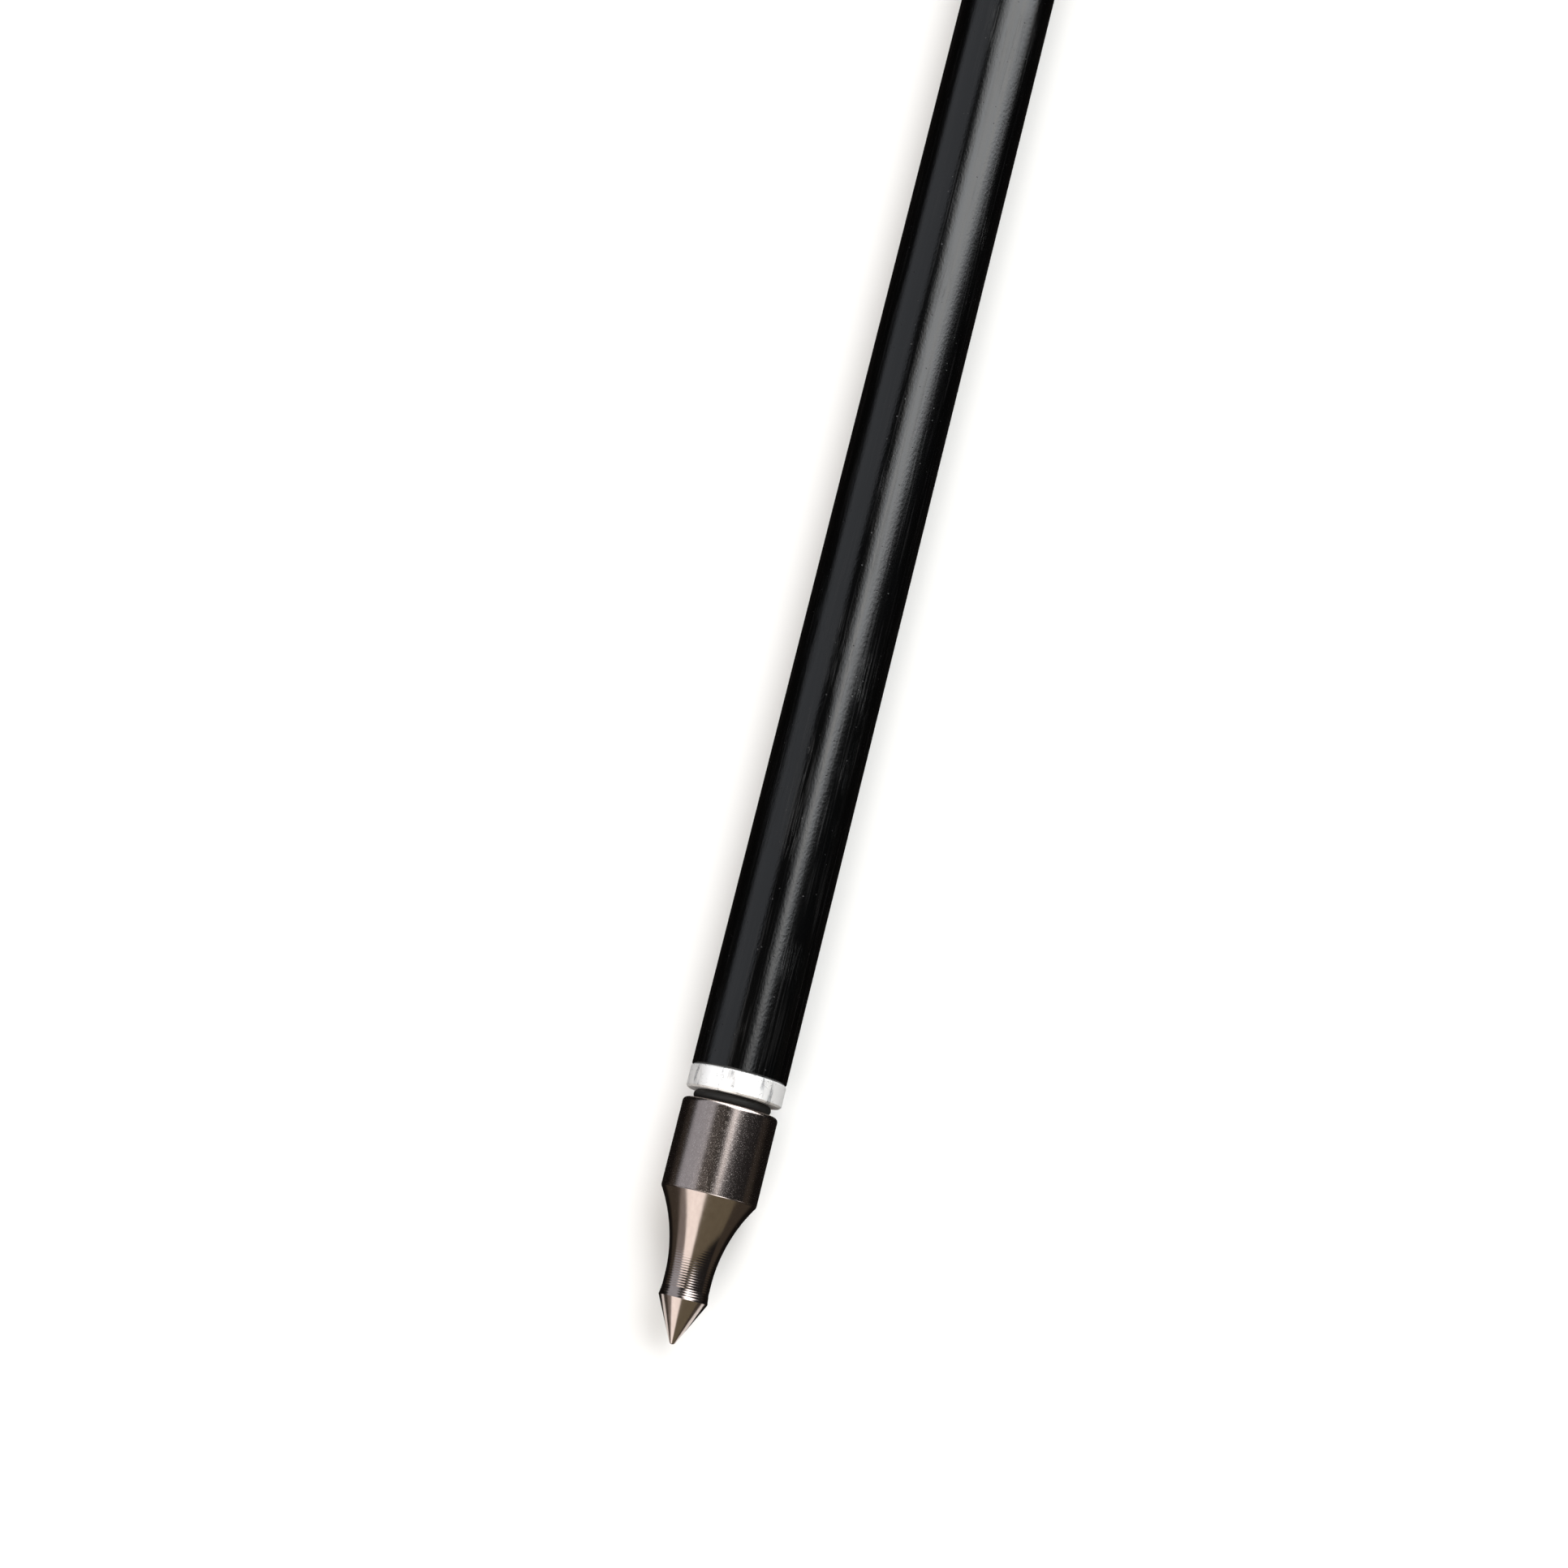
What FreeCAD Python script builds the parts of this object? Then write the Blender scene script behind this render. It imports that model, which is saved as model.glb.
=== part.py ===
"""Driveway snow marker: a slim hollow rod with a steel point that screws into its lower end.

The marker lies along X, as it does when it is stored. Its axis is the X axis, the point is towards -X, the
top end is towards +X, and the origin is the centre of the rod's lower end, where the insert's flange seats.
"""
import FreeCAD, Part
import math
import os

INCH = 25.4

# ---- driving dimensions, in millimetres ----
tube_od = 5 / 16 * INCH
tube_bore = 0.246 * INCH
tube_length = 30 * INCH
end_break = 0.10            # small chamfer that breaks a turned or sawn edge

# insert: a flange that caps the tube and a grooved barrel that is glued inside it
flange_thickness = 1.9
flange_chamfer = 0.15
barrel_clearance = 0.05     # radial room for the glue film
barrel_length = 15.6
glue_groove_depth = 0.28
glue_groove_width = 1.6
glue_groove_starts = (2.0, 5.4, 8.8, 12.2)
barrel_lead = 0.5           # chamfer that leads the barrel into the tube

# seal: a small O-ring squeezed between the flange and the point's shoulder
seal_gap = 0.80
seal_squeeze_clearance = 0.01
seal_bore_clearance = 0.03  # radial, on the point's pilot
seal_od = 6.45
seal_rounding = 0.28

# point: everything is measured from the tip, along the point
tip_radius = 0.28
cone_half_angle = math.radians(27.3)
cone_base_at = 3.66
cone_base_radius = 2.02
neck_radius = 1.925
neck_from = 4.45
ogee_from = 5.23
ogee_radius = 12.6
ogee_to = 12.05
shoulder_from = 12.10
shoulder_radius = 3.955
shoulder_to = 19.45
shoulder_rounding = 0.35
pilot_diameter = 5.10
pilot_length = 8.4
pilot_chamfer = 0.30
relief_length = 0.35        # plain length between the pilot and the first thread
thread_length = 9.1
thread_end_chamfer = 0.45

# insert's inside
pilot_bore_clearance = 0.05     # radial, a running fit
pilot_bore_depth = 7.85
mouth_chamfer = 0.15

# thread: 8-32 UNC, 60 degrees, right-handed
pitch = INCH / 32
flank_slope = math.tan(math.radians(30))
male_root_radius = 1.58
male_crest_radius = 2.04
male_crest_flat = 0.08
female_crest_radius = 1.66
female_root_radius = 2.12
flank_clearance = 0.05          # along the axis, on each flank
overrun = 0.06                  # how far a thread form runs into the core it is fused with
tap_lead_turns = 2              # whole turns by which the tap starts before the point's thread

# reflective bands round the tube near its top, and the plug that closes the top
band_thickness = 0.17
band_width = 50.0
band_gap = 25.0
top_to_band = 40.0
plug_head_length = 3.0
plug_head_rounding = 1.2
plug_head_radius = tube_od / 2
plug_shank_radius = 3.02
plug_shank_length = 12.0
plug_rib_radius = tube_bore / 2 + 0.02
plug_rib_width = 1.0
plug_rib_starts = (1.6, 5.0, 8.4)
plug_core_radius = 1.9
plug_wall = 1.8                 # thickness left over the hollow in the plug's shank

# ---- places along X that follow from the dimensions above ----
tube_radius = tube_od / 2
bore_radius = tube_bore / 2
barrel_radius = bore_radius - barrel_clearance
flange_face = -flange_thickness
shoulder_face = flange_face - seal_gap
tip_at = shoulder_face - shoulder_to
pilot_radius = pilot_diameter / 2
pilot_end = shoulder_face + pilot_length
thread_end = pilot_end + thread_length
pilot_bore_end = flange_face + pilot_bore_depth
thread_datum = pilot_end        # where the helix of both threads starts


def on_axis(x, radius):
    """A point of an outline: x along the axis, radius above it."""
    return FreeCAD.Vector(x, 0, radius)


def line(start, end):
    return Part.LineSegment(on_axis(*start), on_axis(*end)).toShape()


def arc(start, middle, end):
    return Part.Arc(on_axis(*start), on_axis(*middle), on_axis(*end)).toShape()


def outline(corners):
    """Straight edges through the corners, in order, and back to the first."""
    return [line(a, b) for a, b in zip(corners, corners[1:] + corners[:1])]


def turned(edges):
    """A full turn of a closed outline about the marker's axis."""
    face = Part.Face(Part.Wire(Part.sortEdges(edges)[0]))
    solid = face.revolve(FreeCAD.Vector(0, 0, 0), FreeCAD.Vector(1, 0, 0), 360)
    if solid.Volume < 0:
        solid.reverse()
    return solid


def ring(x0, x1, inner, outer):
    return turned(outline([(x0, inner), (x1, inner), (x1, outer), (x0, outer)]))


def ring_to_axis(x0, x1, outer):
    """A plain cylinder between two places on the axis."""
    return turned(outline([(x0, 0), (x1, 0), (x1, outer), (x0, outer)]))


def helix_sweep(inner, outer, outer_half_width, from_turn, turns):
    """A 60 degree thread form swept along the thread's helix, between two radii.

    from_turn is counted from the thread datum, so that forms swept with whole turns stay in mesh.
    """
    inner_half_width = outer_half_width + (outer - inner) * flank_slope
    section = Part.makePolygon([
        FreeCAD.Vector(inner, 0, -inner_half_width),
        FreeCAD.Vector(outer, 0, -outer_half_width),
        FreeCAD.Vector(outer, 0, outer_half_width),
        FreeCAD.Vector(inner, 0, inner_half_width),
        FreeCAD.Vector(inner, 0, -inner_half_width),
    ])
    path = Part.makeHelix(pitch, turns * pitch, outer)
    form = Part.Wire(path).makePipeShell([section], True, True)
    form.rotate(FreeCAD.Vector(0, 0, 0), FreeCAD.Vector(0, 1, 0), 90)
    form.translate(FreeCAD.Vector(thread_datum + from_turn * pitch, 0, 0))
    return form


def make_tube():
    inner, outer = bore_radius, tube_radius
    return turned(outline([
        (0, inner),
        (tube_length, inner),
        (tube_length, outer - end_break),
        (tube_length - end_break, outer),
        (end_break, outer),
        (0, outer - end_break),
    ]))


def barrel_outline():
    """The grooved outside of the insert's barrel, from the flange to its rear end."""
    groove_floor = barrel_radius - glue_groove_depth
    corners = [(0, barrel_radius)]
    for start in glue_groove_starts:
        end = start + glue_groove_width
        corners += [
            (start, barrel_radius),
            (start + glue_groove_depth, groove_floor),
            (end - glue_groove_depth, groove_floor),
            (end, barrel_radius),
        ]
    corners += [(barrel_length - barrel_lead, barrel_radius)]
    return corners


def make_tap():
    """The shape of the insert's threaded hole: the male thread's form with clearance all round."""
    crest_half_width = male_crest_flat / 2 + flank_clearance
    half_width = crest_half_width - (female_root_radius - male_crest_radius) * flank_slope
    turns = math.ceil((barrel_length - thread_datum) / pitch) + tap_lead_turns + 1
    form = helix_sweep(female_crest_radius - overrun, female_root_radius, half_width, -tap_lead_turns, turns)
    start = thread_datum - (tap_lead_turns + 0.5) * pitch
    core = ring_to_axis(start, start + (turns + 1) * pitch, female_crest_radius)
    return core.fuse(form)


def make_insert():
    """The flange and grooved barrel, bored for the point's pilot and tapped behind it."""
    pilot_bore_radius = pilot_radius + pilot_bore_clearance
    blank = turned(outline(
        [
            (flange_face + flange_chamfer, tube_radius),
            (-flange_chamfer, tube_radius),
            (0, tube_radius - flange_chamfer),
        ]
        + barrel_outline()
        + [
            (barrel_length, barrel_radius - barrel_lead),
            (barrel_length, 0),
            (pilot_bore_end, 0),
            (pilot_bore_end, pilot_bore_radius),
            (flange_face + mouth_chamfer, pilot_bore_radius),
            (flange_face, pilot_bore_radius + mouth_chamfer),
            (flange_face, tube_radius - flange_chamfer),
        ]
    ))
    return blank.cut(make_tap())


def make_insert_adhesive():
    """Cured glue: it fills the gap and the grooves between the barrel and the tube's bore."""
    return turned(outline(
        barrel_outline() + [(barrel_length - barrel_lead, bore_radius), (0, bore_radius)]
    ))


def make_o_ring():
    """A squeezed ring: flat where it bears on metal, rounded where it bulges outwards."""
    x0 = shoulder_face + seal_squeeze_clearance
    x1 = flange_face - seal_squeeze_clearance
    inner = pilot_radius + seal_bore_clearance
    outer = seal_od / 2
    middle = (x0 + x1) / 2
    flat = outer - seal_rounding
    return turned([
        line((x0, inner), (x0, flat)),
        arc((x0, flat), (middle, outer), (x1, flat)),
        line((x1, flat), (x1, inner)),
        line((x1, inner), (x0, inner)),
    ])


def tip_edges():
    """The blunt tip and the cone, ending at the cone's crisp base."""
    s, c = math.sin(cone_half_angle), math.cos(cone_half_angle)
    tangent = (tip_at + tip_radius * (1 - s), tip_radius * c)
    half_way = (math.pi / 2 - cone_half_angle) / 2
    middle = (tip_at + tip_radius * (1 - math.cos(half_way)), tip_radius * math.sin(half_way))
    base = (tip_at + cone_base_at, cone_base_radius)
    return [arc((tip_at, 0), middle, tangent), line(tangent, base)], base


def ogee_edges():
    """The neck and the concave sweep from the neck out to the shoulder's lower edge."""
    def sweep(at):
        rise = ogee_radius - math.sqrt(ogee_radius ** 2 - (at - ogee_from) ** 2)
        return (tip_at + at, neck_radius + rise)

    neck = (tip_at + neck_from, neck_radius)
    return [
        line(neck, sweep(ogee_from)),
        arc(sweep(ogee_from), sweep((ogee_from + ogee_to) / 2), sweep(ogee_to)),
    ], neck, sweep(ogee_to)


def shoulder_edges():
    """The shoulder's cylinder and the rounded edge where it meets its seating face."""
    r = shoulder_radius
    low = (tip_at + shoulder_from, r)
    round_from = (shoulder_face - shoulder_rounding, r)
    round_to = (shoulder_face, r - shoulder_rounding)
    bulge = shoulder_rounding * (1 - math.sqrt(0.5))
    return [
        line(low, round_from),
        arc(round_from, (shoulder_face - bulge, r - bulge), round_to),
    ], low, round_to


def make_point():
    """One turned piece: cone, neck, ogee, shoulder, pilot and threaded shank."""
    tip, cone_base = tip_edges()
    ogee, neck, ogee_end = ogee_edges()
    shoulder, shoulder_low, seat = shoulder_edges()
    shank = [
        seat,
        (shoulder_face, pilot_radius),
        (pilot_end - pilot_chamfer, pilot_radius),
        (pilot_end, pilot_radius - pilot_chamfer),
        (pilot_end, male_root_radius),
        (thread_end, male_root_radius),
        (thread_end, 0),
        (tip_at, 0),
    ]
    joins = [line(cone_base, neck), line(ogee_end, shoulder_low)]
    body = turned(tip + ogee + shoulder + joins + [line(a, b) for a, b in zip(shank, shank[1:])])

    turns = math.ceil(thread_length / pitch) + 1
    ridge = helix_sweep(male_root_radius - overrun, male_crest_radius, male_crest_flat / 2, 0, turns)
    chamfered = male_crest_radius + overrun
    envelope = turned(outline([
        (pilot_end + relief_length, 0),
        (pilot_end + relief_length, male_root_radius - overrun),
        (pilot_end + relief_length + chamfered - male_root_radius, chamfered),
        (thread_end - thread_end_chamfer, chamfered),
        (thread_end, male_root_radius),
        (thread_end, 0),
    ]))
    return body.fuse(ridge.common(envelope))


def make_band(upper_edge):
    """A wrap of reflective tape that lies on the tube."""
    return ring(upper_edge - band_width, upper_edge, tube_radius, tube_radius + band_thickness)


def make_top_plug():
    """A hollow plastic plug: a domed head no wider than the tube and a ribbed shank."""
    head_end = tube_length + plug_head_length
    shank_end = tube_length - plug_shank_length
    round_middle = plug_head_rounding * (1 - math.sqrt(0.5))
    round_from = (head_end - plug_head_rounding, plug_head_radius)
    round_to = (head_end, plug_head_radius - plug_head_rounding)
    hollow_end = tube_length + plug_head_length - plug_wall
    corners = [
        round_to,
        (head_end, 0),
        (hollow_end, 0),
        (hollow_end, plug_core_radius),
        (shank_end, plug_core_radius),
        (shank_end, plug_shank_radius),
    ]
    for start in reversed(plug_rib_starts):
        near, far = tube_length - start, tube_length - start - plug_rib_width
        corners += [
            (far, plug_shank_radius),
            (near, plug_rib_radius),
            (near, plug_shank_radius),
        ]
    corners += [(tube_length, plug_shank_radius), (tube_length, plug_head_radius), round_from]
    edges = [line(a, b) for a, b in zip(corners, corners[1:])]
    edges.append(arc(round_from, (head_end - round_middle, plug_head_radius - round_middle), round_to))
    return turned(edges)


upper_band_edge = tube_length - top_to_band
lower_band_edge = upper_band_edge - band_width - band_gap

nodes = {
    "tube": make_tube(),
    "insert": make_insert(),
    "insert_adhesive": make_insert_adhesive(),
    "o_ring": make_o_ring(),
    "point": make_point(),
    "reflective_band_lower": make_band(lower_band_edge),
    "reflective_band_upper": make_band(upper_band_edge),
    "top_plug": make_top_plug(),
}

os.makedirs("parts", exist_ok=True)
for name, shape in nodes.items():
    shape.exportStep(f"parts/{name}.step")
    box = shape.BoundBox
    print(f"{name:24s} {len(shape.Solids)} solid, valid {shape.isValid()}, {shape.Volume:9.2f} mm3, "
          f"X {box.XMin:8.2f} to {box.XMax:8.2f}, radius {box.ZMax:.3f}")
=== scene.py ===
# %% [markdown]
# # A slim marker rod with a screw-in steel point
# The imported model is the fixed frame: it gives every piece's place and size, in metres. The marker lies
# along X, with its point towards -X. This lesson turns the pieces that show on a lathe, as the real ones are
# made, gives each of them its finish, and lights the marker on a pale floor.

# %% The frame
import math

import bpy
from mathutils import Matrix, Vector


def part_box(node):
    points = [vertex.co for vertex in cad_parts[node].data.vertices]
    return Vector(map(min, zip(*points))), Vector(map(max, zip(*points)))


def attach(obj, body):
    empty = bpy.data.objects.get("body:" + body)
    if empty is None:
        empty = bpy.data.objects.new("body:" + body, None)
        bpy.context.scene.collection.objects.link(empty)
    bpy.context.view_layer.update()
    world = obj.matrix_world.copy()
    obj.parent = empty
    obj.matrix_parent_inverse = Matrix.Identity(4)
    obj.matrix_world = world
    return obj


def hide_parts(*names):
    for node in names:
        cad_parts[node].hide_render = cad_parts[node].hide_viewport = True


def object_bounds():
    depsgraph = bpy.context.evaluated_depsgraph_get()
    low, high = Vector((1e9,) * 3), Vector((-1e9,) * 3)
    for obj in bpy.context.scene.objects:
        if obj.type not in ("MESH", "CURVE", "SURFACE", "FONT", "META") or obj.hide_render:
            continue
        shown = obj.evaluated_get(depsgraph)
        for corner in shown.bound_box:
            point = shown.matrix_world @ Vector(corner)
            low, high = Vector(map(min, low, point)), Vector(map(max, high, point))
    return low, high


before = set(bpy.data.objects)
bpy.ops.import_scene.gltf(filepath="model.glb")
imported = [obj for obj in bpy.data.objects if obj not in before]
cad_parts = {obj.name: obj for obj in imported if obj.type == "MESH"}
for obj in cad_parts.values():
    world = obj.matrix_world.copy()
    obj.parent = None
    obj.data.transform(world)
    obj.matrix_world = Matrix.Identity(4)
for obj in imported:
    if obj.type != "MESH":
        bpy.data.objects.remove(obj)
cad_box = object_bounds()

MM = 0.001
print("nodes:", sorted(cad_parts))
print("box:", cad_box)

# %% [markdown]
# ## Reading sizes from the frame
# A piece is only useful if it fits its neighbours, so its main sizes are read from the frame and not typed
# in. Each node's box gives its ends along X and its greatest radius. The glue fills the gap up to the tube's
# wall, so its radius is the bore's. The rubber ring is modelled a hair clear of the face of the shoulder it
# sits against. That face, called the seat here, is found from the ring's end.

# %% Sizes


def ends(node):
    """Where a node starts and stops along the marker, and its radius."""
    low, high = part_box(node)
    return low.x, high.x, high.y


tube_from, tube_to, tube_radius = ends("tube")
tip, _, shoulder_radius = ends("point")
bore_radius = ends("insert_adhesive")[2]
ring_clearance = 0.01 * MM
seat = ends("o_ring")[0] - ring_clearance
print(f"tube {tube_to - tube_from:.4f} m long, radius {tube_radius:.5f} m")
print(f"point's head {seat - tip:.5f} m long, radius {shoulder_radius:.5f} m")

# %% [markdown]
# ## A lathe
# The tube and the point's head are round all the way along, so one helper does what a lathe does. It starts
# from a small plane merged to one vertex, extrudes that vertex from corner to corner of the outline, and
# spins the outline a full turn about the X axis. Doubles along the seam and at the poles are merged, and
# only then are the normals recalculated, so that they all point outwards. A cylinder could be inset and
# scaled into the same shapes, but an outline gives every diameter once.

# %% The lathe
WELD = 1e-7
SMOOTH_BELOW = math.radians(24)


def lathe(name, outline, steps, closed=False):
    """Turns an outline of (x, radius) corners about the X axis. WELD is the merging distance in metres."""
    corners = [Vector((x, 0, radius)) for x, radius in outline]
    if closed:
        corners.append(corners[0])
    bpy.ops.object.select_all(action="DESELECT")
    bpy.ops.mesh.primitive_plane_add(size=MM)
    piece = bpy.context.object
    piece.name = piece.data.name = name
    bpy.ops.object.mode_set(mode="EDIT")
    bpy.ops.mesh.select_all(action="SELECT")
    bpy.ops.mesh.merge(type="CENTER")
    bpy.ops.transform.translate(value=corners[0])
    for start, end in zip(corners, corners[1:]):
        bpy.ops.mesh.extrude_region_move(TRANSFORM_OT_translate={"value": end - start})
    bpy.ops.mesh.select_all(action="SELECT")
    bpy.ops.mesh.remove_doubles(threshold=WELD)
    bpy.ops.mesh.spin(steps=steps, angle=math.tau, center=(0, 0, 0), axis=(1, 0, 0))
    bpy.ops.mesh.select_all(action="SELECT")
    bpy.ops.mesh.remove_doubles(threshold=WELD)
    bpy.ops.mesh.normals_make_consistent(inside=False)
    bpy.ops.object.mode_set(mode="OBJECT")
    bpy.ops.object.shade_smooth_by_angle(angle=SMOOTH_BELOW)
    print(name, len(piece.data.polygons), "faces")
    return piece


def arc(centre, radius, from_angle, to_angle, count):
    """Points along an arc of an outline. Angles are in radians, counted from +X towards the outside."""
    step = (to_angle - from_angle) / count
    angles = [from_angle + step * i for i in range(count + 1)]
    return [(centre[0] + radius * math.cos(a), centre[1] + radius * math.sin(a)) for a in angles]


# %% [markdown]
# ## The tube
# The real tube is a drawn or pultruded pipe, sawn to length. The frame's own tube has few sides, which would
# show as flats in its gloss, so it is turned again with many. Its sawn ends keep a small chamfer.

# %% Tube
saw_chamfer = 0.10 * MM
tube = lathe("marker_tube", [
    (tube_from, bore_radius),
    (tube_to, bore_radius),
    (tube_to, tube_radius - saw_chamfer),
    (tube_to - saw_chamfer, tube_radius),
    (tube_from + saw_chamfer, tube_radius),
    (tube_from, tube_radius - saw_chamfer),
], steps=160, closed=True)
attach(tube, "rod")
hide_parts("tube")

# %% [markdown]
# ## The point's head and pilot
# The head is turned from bar: a blunt cone, a neck, a long hollow sweep (the ogee) and a straight shoulder
# as wide as the tube, with a smooth pilot behind it that guides it into the insert. Its box can't say where
# these begin, so they are typed, in millimetres from the tip. The tool left fine rings on the neck. They
# could be a bump in the material, but they show where the light slides along the neck, so the neck's outline
# has them as real grooves. Close to each rounding the outline has a second corner, which holds the shading
# of the long face beside it straight.

# %% Point's head
tip_radius = 0.28 * MM
cone_half_angle = math.radians(27.3)
cone_base = (tip + 3.66 * MM, 2.02 * MM)
base_break, base_drop = 0.06 * MM, 0.01 * MM
flare_length = 0.79 * MM
neck_radius = 1.925 * MM
neck_from, rings_to = tip + 3.80 * MM, tip + 7.80 * MM
ogee_from, ogee_to = tip + 5.23 * MM, tip + 12.05 * MM
ogee_radius = 12.6 * MM
shoulder_from = tip + 12.10 * MM
shoulder_break = 0.03 * MM
shoulder_rounding = 0.35 * MM
ring_pitch, ring_depth = 0.200 * MM, 0.013 * MM
fading_rings = 6
hold = 0.02 * MM
pilot_radius, pilot_to, pilot_chamfer = 2.55 * MM, seat + 8.40 * MM, 0.30 * MM


def head_radius(x):
    """The neck and the ogee: flared behind the cone, then straight, then a hollow arc out to the shoulder."""
    flare = max(0, 1 - (x - cone_base[0]) / flare_length) * (cone_base[1] - neck_radius)
    if x <= ogee_from:
        return neck_radius + flare
    return neck_radius + flare + ogee_radius - math.sqrt(ogee_radius ** 2 - (x - ogee_from) ** 2)


def turned_rings():
    """The tool's rings on the neck: shallow grooves that fade out where the ogee starts to sweep."""
    count = round((rings_to - neck_from) / ring_pitch)
    for i in range(count):
        x = neck_from + i * ring_pitch
        depth = ring_depth * min(1, (count - i) / fading_rings)
        yield x, head_radius(x)
        yield x + 0.3 * ring_pitch, head_radius(x + 0.3 * ring_pitch) - 0.7 * depth
        yield x + 0.5 * ring_pitch, head_radius(x + 0.5 * ring_pitch) - depth
        yield x + 0.7 * ring_pitch, head_radius(x + 0.7 * ring_pitch) - 0.7 * depth


def sweep(start, stop, count):
    """Corners spaced evenly along the ogee."""
    step = (stop - start) / count
    return [(start + i * step, head_radius(start + i * step)) for i in range(count + 1)]


blunt = arc((tip + tip_radius, 0), tip_radius, math.pi, math.pi / 2 + cone_half_angle, count=8)
along_cone = Vector((math.cos(cone_half_angle), math.sin(cone_half_angle))) * hold
cone = [
    (blunt[-1][0] + along_cone.x, blunt[-1][1] + along_cone.y),
    cone_base,
    (cone_base[0] + base_break, cone_base[1] - base_drop),
]
shoulder = [
    (shoulder_from, shoulder_radius - shoulder_break),
    (shoulder_from + shoulder_break, shoulder_radius),
    (shoulder_from + shoulder_break + hold, shoulder_radius),
    (seat - shoulder_rounding - hold, shoulder_radius),
]
rounding_centre = (seat - shoulder_rounding, shoulder_radius - shoulder_rounding)
rounded = arc(rounding_centre, shoulder_rounding, math.pi / 2, 0, count=6)
pilot = [
    (seat, pilot_radius),
    (pilot_to - pilot_chamfer, pilot_radius),
    (pilot_to, pilot_radius - pilot_chamfer),
    (pilot_to, 0),
]
neck_and_ogee = list(turned_rings()) + sweep(rings_to, ogee_to, count=28)
head = lathe("point_head", blunt + cone + neck_and_ogee + shoulder + rounded + pilot, steps=144)

# %% [markdown]
# ## The point's thread
# Behind the pilot is the thread. It could be spun with a Screw modifier, but the frame already holds a true
# helix that fits the insert's, so it is a copy of that node, merged, and cut behind the pilot with Bisect.
# One fault is left in it: Bisect keeps corners within its threshold, 0.1 mm unless another is given, and
# this cut is only 0.01 mm behind the pilot. So the pilot's end face stays on the copy with an open rim,
# level with the head's own end, and the disc that fills its middle faces the wrong way. Both lie against the
# head. A smaller threshold would cut them away.

# %% Thread
cut = pilot_to + 0.01 * MM
bpy.ops.object.select_all(action="DESELECT")
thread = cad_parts["point"].copy()
thread.data = thread.data.copy()
thread.name = thread.data.name = "point_thread"
bpy.context.collection.objects.link(thread)
thread.select_set(True)
bpy.context.view_layer.objects.active = thread
bpy.ops.object.mode_set(mode="EDIT")
bpy.ops.mesh.select_all(action="SELECT")
bpy.ops.mesh.remove_doubles(threshold=WELD)
bpy.ops.mesh.bisect(plane_co=(cut, 0, 0), plane_no=(1, 0, 0), use_fill=True, clear_inner=True)
bpy.ops.object.mode_set(mode="OBJECT")
bpy.ops.object.shade_smooth_by_angle(angle=SMOOTH_BELOW)
for piece in (head, thread):
    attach(piece, "screw_point")
    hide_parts("point")
print("point_thread", len(thread.data.polygons), "faces")

# %% [markdown]
# ## Writing shader maths as sums
# A pattern is a formula over the surface, and so is the light of a room over its directions. The small class
# `Wire` wraps a socket, so that a formula is written as Python and its Math nodes appear by themselves.
# Every other node comes from one method, `node`. `Finish` is a material built that way.

# %% Shader helper


class Wire:
    """A socket's value inside one node tree. Arithmetic on it adds Math nodes."""

    def __init__(self, nodes, socket):
        self.nodes, self.socket = nodes, socket

    def maths(self, operation, *inputs):
        """One Math node; its operation is set before its inputs are filled."""
        return self.nodes.node("ShaderNodeMath", {"operation": operation}, dict(enumerate(inputs)))["Value"]

    def __add__(self, other):
        return self.maths("ADD", self, other)

    def __radd__(self, other):
        return self.maths("ADD", other, self)

    def __sub__(self, other):
        return self.maths("SUBTRACT", self, other)

    def __rsub__(self, other):
        return self.maths("SUBTRACT", other, self)

    def __mul__(self, other):
        return self.maths("MULTIPLY", self, other)

    def __rmul__(self, other):
        return self.maths("MULTIPLY", other, self)


class Nodes:
    """A node tree that is written as formulas."""

    def __init__(self, tree):
        self.tree = tree

    def node(self, kind, settings, values):
        """Adds a node, sets it up, joins or fills its sockets, and returns its outputs by name."""
        made = self.tree.nodes.new(kind)
        for key, value in settings.items():
            setattr(made, key, value)
        for key, value in values.items():
            if isinstance(value, Wire):
                self.tree.links.new(value.socket, made.inputs[key])
            else:
                made.inputs[key].default_value = value
        return {output.name: Wire(self, output) for output in made.outputs if output.enabled}

    def step(self, value, start, stop):
        """A smooth ramp from 0 at start to 1 at stop."""
        limits = {"Value": value, "From Min": start, "From Max": stop}
        return self.node("ShaderNodeMapRange", {"interpolation_type": "SMOOTHSTEP"}, limits)["Result"]

    def blend(self, mask, first, second):
        """A colour that goes from first to second as the mask goes from 0 to 1."""
        return self.node("ShaderNodeMix", {"data_type": "RGBA"}, {0: mask, 6: first, 7: second})["Result"]


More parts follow.
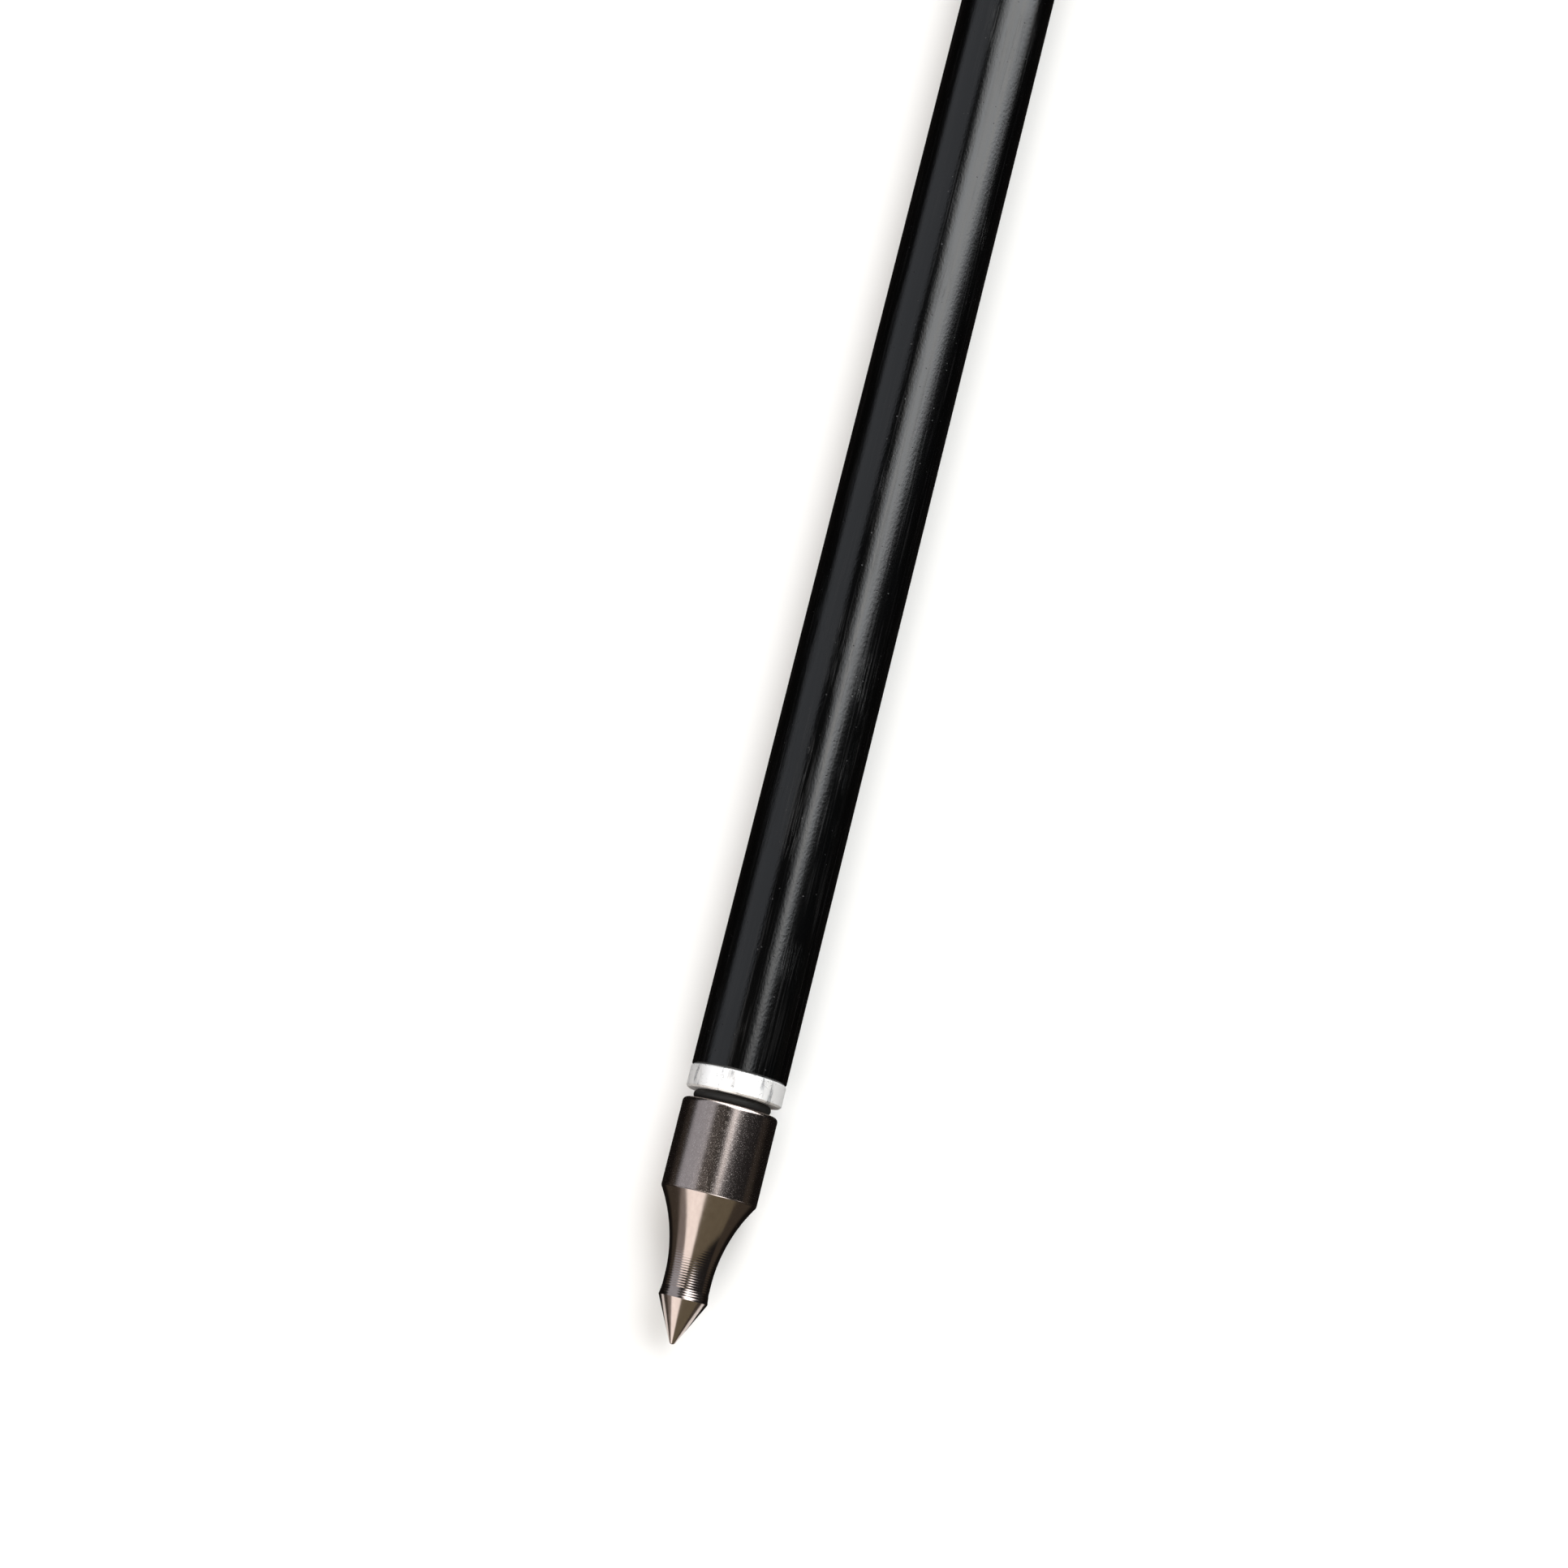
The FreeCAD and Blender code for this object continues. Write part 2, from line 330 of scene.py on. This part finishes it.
class Finish(Nodes):
    """A material with one Principled shader. Uniform numbers go straight on the shader's own sockets."""

    def __init__(self, name, **uniform):
        self.material = bpy.data.materials.new(name)
        self.material.use_nodes = True
        super().__init__(self.material.node_tree)
        self.shader = self.tree.nodes["Principled BSDF"]
        for socket, value in uniform.items():
            self.shader.inputs[socket.replace("_", " ")].default_value = value
        self.place = self.node("ShaderNodeTexCoord", {}, {})["Object"]

    def noise(self, grain, detail=2.0, roughness=0.5):
        """Noise whose grain is given in metres along X, Y and Z."""
        scale = tuple(1 / size for size in grain)
        spot = self.node("ShaderNodeMapping", {}, {"Vector": self.place, "Scale": scale})["Vector"]
        values = {"Vector": spot, "Scale": 1.0, "Detail": detail, "Roughness": roughness}
        return self.node("ShaderNodeTexNoise", {}, values)["Fac"]

    def spots(self, size, fill):
        """Round spots, 1 at their middle, one in every cell; fill is their radius as a share of a cell."""
        spot = self.node("ShaderNodeMapping", {}, {"Vector": self.place, "Scale": (1 / size,) * 3})["Vector"]
        cells = self.node("ShaderNodeTexVoronoi", {}, {"Vector": spot, "Scale": 1.0, "Randomness": 1.0})
        return self.step(cells["Distance"], fill, 0.4 * fill)

    def drive(self, socket, value):
        """Joins a pattern to one of the shader's sockets."""
        self.tree.links.new(value.socket, self.shader.inputs[socket])

    def relief(self, height, depth):
        """Bump: height 0 to 1 stands for depth metres."""
        bump = self.node("ShaderNodeBump", {}, {"Height": height, "Distance": depth, "Strength": 1.0})
        self.drive("Normal", bump["Normal"])

    def put_on(self, *pieces):
        """Makes this the only material of each piece."""
        for piece in pieces:
            piece.data.materials.clear()
            piece.data.materials.append(self.material)
        print(self.material.name, "on", [piece.name for piece in pieces])


# %% [markdown]
# ## Glossy black resin
# The tube's gloss is a resin skin over lengthwise fibres: nearly black, with faint lengthwise streaks, pits
# and scuffs that break up the edge of a highlight. An image could be wrapped on it, but noise that is long
# in X and short across never repeats and needs no file. Hairs are scratches: where a noise crosses its
# middle value it draws a thin line, and a cloudy mask keeps the lines in patches.

# %% Tube's finish
gloss = Finish("tube_gloss", IOR=1.5)
fibres = gloss.noise((9 * MM, 0.22 * MM, 0.22 * MM), detail=3)
grain = gloss.noise((0.30 * MM, 0.16 * MM, 0.16 * MM), detail=3)
cloud = gloss.noise((11 * MM, 5 * MM, 5 * MM))
pits = gloss.spots(0.9 * MM, 0.09)
scuffs = gloss.step(fibres, 0.50, 0.68)
hairs = gloss.noise((7 * MM, 0.14 * MM, 0.14 * MM), detail=2)
hairs = gloss.step(hairs.maths("ABSOLUTE", hairs - 0.5), 0.016, 0.0) * gloss.step(cloud, 0.52, 0.62)
gloss.drive("Base Color", gloss.blend(scuffs, (0.0004, 0.0005, 0.0006, 1), (0.0020, 0.0020, 0.0022, 1)))
gloss.drive("Roughness", 0.12 + scuffs * 0.12 + cloud * 0.05 + (pits + hairs * 0.4) * 0.25)
gloss.relief(fibres * 0.25 + grain - pits - hairs * 0.2, 0.009 * MM)
gloss.put_on(tube)

# %% [markdown]
# ## Bright aluminium
# The insert is turned aluminium, bright and softly smudged. Fine turning rings run round it, too fine for
# its mesh, so they are a bump. Wiped streaks are darker and shine more, and handling has left a few
# hair-thin scratches, drawn where a noise crosses its middle value.

# %% Insert's finish
bright = Finish("insert_aluminium", Metallic=0.60)
rings = bright.noise((0.035 * MM, 3 * MM, 3 * MM), detail=2)
smudge = bright.noise((1.2 * MM, 0.8 * MM, 0.8 * MM), detail=4)
wiped = bright.step(bright.noise((3 * MM, 0.7 * MM, 0.7 * MM), detail=3), 0.54, 0.70)
hair = bright.noise((0.45 * MM, 0.7 * MM, 0.7 * MM), detail=5)
crack = bright.step(hair.maths("ABSOLUTE", hair - 0.5), 0.018, 0.0)
scratch = crack * bright.step(smudge, 0.47, 0.57)
tone = bright.blend(wiped, (1.0, 1.0, 1.0, 1), (0.66, 0.67, 0.69, 1))
bright.drive("Base Color", bright.blend(scratch * 0.8, tone, (0.22, 0.22, 0.22, 1)))
bright.drive("Roughness", 0.42 - wiped * 0.18)
bright.relief(rings * 0.5 - scratch, 0.003 * MM)
bright.put_on(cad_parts["insert"])

# %% [markdown]
# ## Dark nickel
# The point is steel with a dark, warm nickel plating. Its straight shoulder is speckled, with fine sparkles
# and small dark pores, and the ogee and cone are smoother. It could be two materials on chosen faces, but a
# mask along X changes the finish at the shoulder's lower edge within one material.

# %% Point's finish
nickel = Finish("point_dark_nickel", Metallic=1.0)
along = nickel.node("ShaderNodeSeparateXYZ", {}, {"Vector": nickel.place})["X"]
on_shoulder = nickel.step(along, shoulder_from - 0.05 * MM, shoulder_from + 0.05 * MM)
mottle = nickel.noise((0.6 * MM, 0.35 * MM, 0.35 * MM), detail=4)
speck = nickel.noise((0.10 * MM, 0.07 * MM, 0.07 * MM), detail=2)
drag = nickel.noise((0.05 * MM, 1.6 * MM, 1.6 * MM), detail=2)
pores = nickel.spots(0.30 * MM, 0.16) * on_shoulder
sparkle = nickel.step(speck, 0.50, 0.72) * on_shoulder
warm = nickel.blend(mottle, (0.315, 0.265, 0.248, 1), (0.385, 0.335, 0.315, 1))
glint = nickel.blend(sparkle * 0.55, warm, (0.60, 0.54, 0.52, 1))
nickel.drive("Base Color", nickel.blend(pores * 0.4, glint, (0.10, 0.08, 0.075, 1)))
nickel.drive("Roughness", 0.14 + mottle * 0.05 + sparkle * 0.12)
nickel.relief(speck * (0.2 + on_shoulder * 0.8) + drag * 0.5 - pores * 0.3, 0.0022 * MM)
nickel.put_on(head, thread)

# %% [markdown]
# ## Rubber
# The seal ring is black rubber, matt with a faint bloom. Three noises could be used, but at this size one
# fine noise does for its colour, its roughness and its grain.

# %% Rubber
rubber = Finish("seal_rubber", IOR=1.5)
bloom = rubber.noise((0.25 * MM,) * 3, detail=4)
rubber.drive("Base Color", rubber.blend(bloom, (0.004, 0.004, 0.004, 1), (0.012, 0.012, 0.012, 1)))
rubber.drive("Roughness", 0.50 + bloom * 0.2)
rubber.relief(bloom, 0.006 * MM)
rubber.put_on(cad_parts["o_ring"])

# %% [markdown]
# ## Reflective tape
# The bands are silver-white tape whose cells are sealed in a diamond pattern. The seams could be modelled,
# but they stand up less than a coat of paint does, so two crossing spirals in the material draw them. A
# whole number of cells goes round, so the pattern meets itself without a step.

# %% Reflective tape
tape = Finish("reflective_tape", IOR=1.5, Coat_Roughness=0.08)
tape_x = tape.node("ShaderNodeSeparateXYZ", {}, {"Vector": tape.place})
turn = tape_x["Z"].maths("ARCTAN2", tape_x["Z"], tape_x["Y"])
cells_around = 10
cell = math.tau * tube_radius / cells_around
around = turn * (cells_around / math.tau)
lengthwise = tape_x["X"] * (1 / cell)


def seam(wire):
    """Sealed seams: 1 on each whole number, 0 between them."""
    return tape.step(wire.maths("PINGPONG", wire, 0.5), 0.075, 0.035)


seams = tape.node("ShaderNodeMath", {"operation": "MAXIMUM"}, {
    0: seam(lengthwise + around), 1: seam(lengthwise - around)})["Value"]
facets = tape.noise((0.12 * MM,) * 3, detail=2)
dirt = tape.noise((6 * MM, 3 * MM, 3 * MM), detail=5)
silver = tape.blend(dirt, (0.74, 0.76, 0.78, 1), (0.60, 0.62, 0.63, 1))
tape.drive("Base Color", tape.blend(seams, silver, (0.86, 0.87, 0.87, 1)))
tape.drive("Metallic", 0.65 - seams * 0.65)
tape.drive("Roughness", 0.20 + facets * 0.25 + seams * 0.2)
tape.relief(seams * 0.5 + facets * 0.2, 0.02 * MM)
tape.put_on(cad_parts["reflective_band_lower"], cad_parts["reflective_band_upper"])

# %% [markdown]
# ## Moulded plastic
# The plug is moulded in black plastic. Its mould was lightly textured, which a fine bump gives, and handling
# has rubbed it unevenly, which a coarser noise shows in its colour and roughness.

# %% Plug
moulded = Finish("plug_plastic", IOR=1.5)
texture = moulded.noise((0.20 * MM,) * 3, detail=4)
rub = moulded.noise((3 * MM,) * 3, detail=4)
moulded.drive("Base Color", moulded.blend(rub, (0.010, 0.010, 0.011, 1), (0.024, 0.024, 0.026, 1)))
moulded.drive("Roughness", 0.42 + rub * 0.16)
moulded.relief(texture, 0.012 * MM)
moulded.put_on(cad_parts["top_plug"])

# %% [markdown]
# ## Glue
# Cured glue holds the insert inside the tube, where hardly any of it can be seen. It could be clear and bend
# light, but a plain amber with cloudy bubbles is enough in the dark.

# %% Glue
glue = Finish("cured_glue", IOR=1.5)
bubbles = glue.noise((0.5 * MM,) * 3, detail=3)
glue.drive("Base Color", glue.blend(bubbles, (0.45, 0.30, 0.10, 1), (0.62, 0.47, 0.22, 1)))
glue.drive("Roughness", 0.25 + bubbles * 0.2)
glue.put_on(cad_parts["insert_adhesive"])
print("finishes:", sorted(m.name for m in bpy.data.materials if m.users))

# %% [markdown]
# ## Floor
# The marker lies on a plain white sheet, lit by the room alone. The sheet is hidden from reflections,
# because a marker on its own would mirror far more of it than one that lies in a row of others does.

# %% Floor
floor_z = cad_box[0].z
floor_size = 60
bpy.ops.object.select_all(action="DESELECT")
bpy.ops.mesh.primitive_plane_add(size=floor_size, location=(0, 0, floor_z))
floor = bpy.context.object
floor.name = "floor_sheet"
sheet = Finish("white_sheet", Roughness=0.8, Specular_IOR_Level=0.1, Base_Color=(0.86, 0.86, 0.86, 1))
sheet.put_on(floor)
floor.visible_glossy = False

# %% [markdown]
# ## A card in front of the tip
# With the sheet hidden from reflections, the cone would mirror only the dark room below. A lamp would also
# brighten the sheet, so a small pale card with a light of its own lies in front of the tip, and only
# reflections see it: the camera doesn't, and it throws no light or shadow.

# %% Card
card_length, card_width = 7 * MM, 26 * MM
card_middle = tip - 3 * MM
card_lift = 0.05 * MM
bpy.ops.object.select_all(action="DESELECT")
bpy.ops.mesh.primitive_plane_add(size=1, location=(card_middle, 0, floor_z + card_lift))
bpy.ops.transform.resize(value=(card_length, card_width, 1))
card = bpy.context.object
card.name = "tip_card"
pale = Finish("pale_card", Roughness=0.8, Emission_Strength=0.45, Emission_Color=(1.0, 0.97, 0.90, 1))
pale.put_on(card)
card.visible_camera = False
card.visible_diffuse = False
card.visible_shadow = False

# %% [markdown]
# ## The room
# A glossy rod shows the room it lies in. Lamps and panels could stand around it, but each would need its own
# place and edges, so the room is one formula over directions (x, y, z), laid down in layers from the darkest
# to the brightest. First come the ground, brown and darker with depth, and a dim khaki ceiling. Over them go
# a pale wall to one side, a window with warm light behind the tip, and a large diffuser overhead, which
# begins as a wedge above the point and widens along the tube. Each edge is where a sum of x, y and z passes
# a value, softened by a ramp. The camera itself sees a plain pale backdrop.

# %% World
world = bpy.data.worlds.new("room")
bpy.context.scene.world = world
world.use_nodes = True
room = Nodes(world.node_tree)
towards = room.node("ShaderNodeTexCoord", {}, {})["Generated"]
axes = room.node("ShaderNodeSeparateXYZ", {}, {"Vector": towards})
x, y, z = axes["X"], axes["Y"], axes["Z"]

deep_ground = room.blend(room.step(x, 0.02, 0.12), (0.10, 0.082, 0.062, 1), (0.028, 0.026, 0.025, 1))
ground = room.blend(room.step(z - 0.8 * x, -0.22, -0.55), deep_ground, (0.012, 0.010, 0.009, 1))
beside = y.maths("MINIMUM", y, 0.0)
khaki = room.step(beside * 0.45 - x, -0.06, 0.08)
ceiling = room.blend(khaki, (0.024, 0.023, 0.023, 1), (0.29, 0.25, 0.165, 1))
lit = room.blend(room.step(z, -0.04, 0.03), ground, ceiling)

low_edge = z - 0.14 * room.step(x, 0.0, 0.12)
wall = room.step(y + 0.65 * x - 0.70 * z, -0.09, 0.07) * room.step(low_edge, -0.12, 0.14)
paint = room.blend(room.step(x, -0.25, -0.05), (0.46, 0.41, 0.38, 1), (0.70, 0.73, 0.79, 1))
lit = room.blend(wall, lit, paint)

window = room.step(y - 0.15 * z, -0.05, 0.05) * room.step(0.8 * z - 0.57 * x - y, -0.12, 0.04)
window = window * room.step(x + 0.05 * z, 0.04, -0.04) * room.step(z, 0.0, 0.08)
lit = room.blend(window, lit, (2.45, 2.32, 2.18, 1))

near_edge = room.step(0.70 * x - y - 0.24 * z, -0.10, 0.30)
far_edge = room.step(2.10 * x + y + 0.30 * z, -0.04, 0.34)
diffuser = near_edge * far_edge * room.step(z, 0.0, 0.12)
drift = room.node("ShaderNodeTexNoise", {}, {"Vector": towards, "Scale": 4.0, "Detail": 1.0})["Fac"]
tint = room.blend(room.step(drift, 0.42, 0.58), (4.9, 5.05, 5.2, 1), (5.5, 5.35, 5.1, 1))
lit = room.blend(diffuser, lit, tint)
seen = room.node("ShaderNodeLightPath", {}, {})["Is Camera Ray"]
backdrop = (0.95, 0.95, 0.95, 1)
lit = room.blend(seen, lit, backdrop)
room.tree.links.new(lit.socket, room.tree.nodes["Background"].inputs["Color"])
bpy.context.scene.view_settings.view_transform = "Standard"
print("the room's light takes", len(room.tree.nodes), "nodes")

# %% [markdown]
# ## Camera
# The camera looks almost straight down on the point from about 24 cm up, turned so that the marker leans. It
# could be aimed with a constraint, but three axes worked out from two angles say exactly how it stands.

# %% Camera
camera_place = Vector((-23.39, -9.54, 237.44)) * MM
lean = math.radians(13.87)
tilt = math.radians(11.7)
across = Vector((math.sin(lean), -math.cos(lean), 0))
up_the_floor = Vector((math.cos(lean), math.sin(lean), 0))
forward = Vector((0, 0, -1)) * math.cos(tilt) + up_the_floor * math.sin(tilt)
upward = across.cross(forward)
camera_data = bpy.data.cameras.new("camera")
camera_data.sensor_width = 36
camera_data.lens = 67.1
camera_data.clip_start = 0.005
camera = bpy.data.objects.new("camera", camera_data)
bpy.context.collection.objects.link(camera)
turned = Matrix((across, upward, -forward)).transposed().to_4x4()
camera.matrix_world = Matrix.Translation(camera_place) @ turned
bpy.context.scene.camera = camera
print(f"camera {camera_place.z:.3f} m up, lens {camera_data.lens:.1f} mm")

# %% [markdown]
# ## Bringing the scene up to date
# The turned pieces have to fill the same box as the imported model. The last step brings the scene up to
# date.

# %% Finish
bpy.context.view_layer.update()
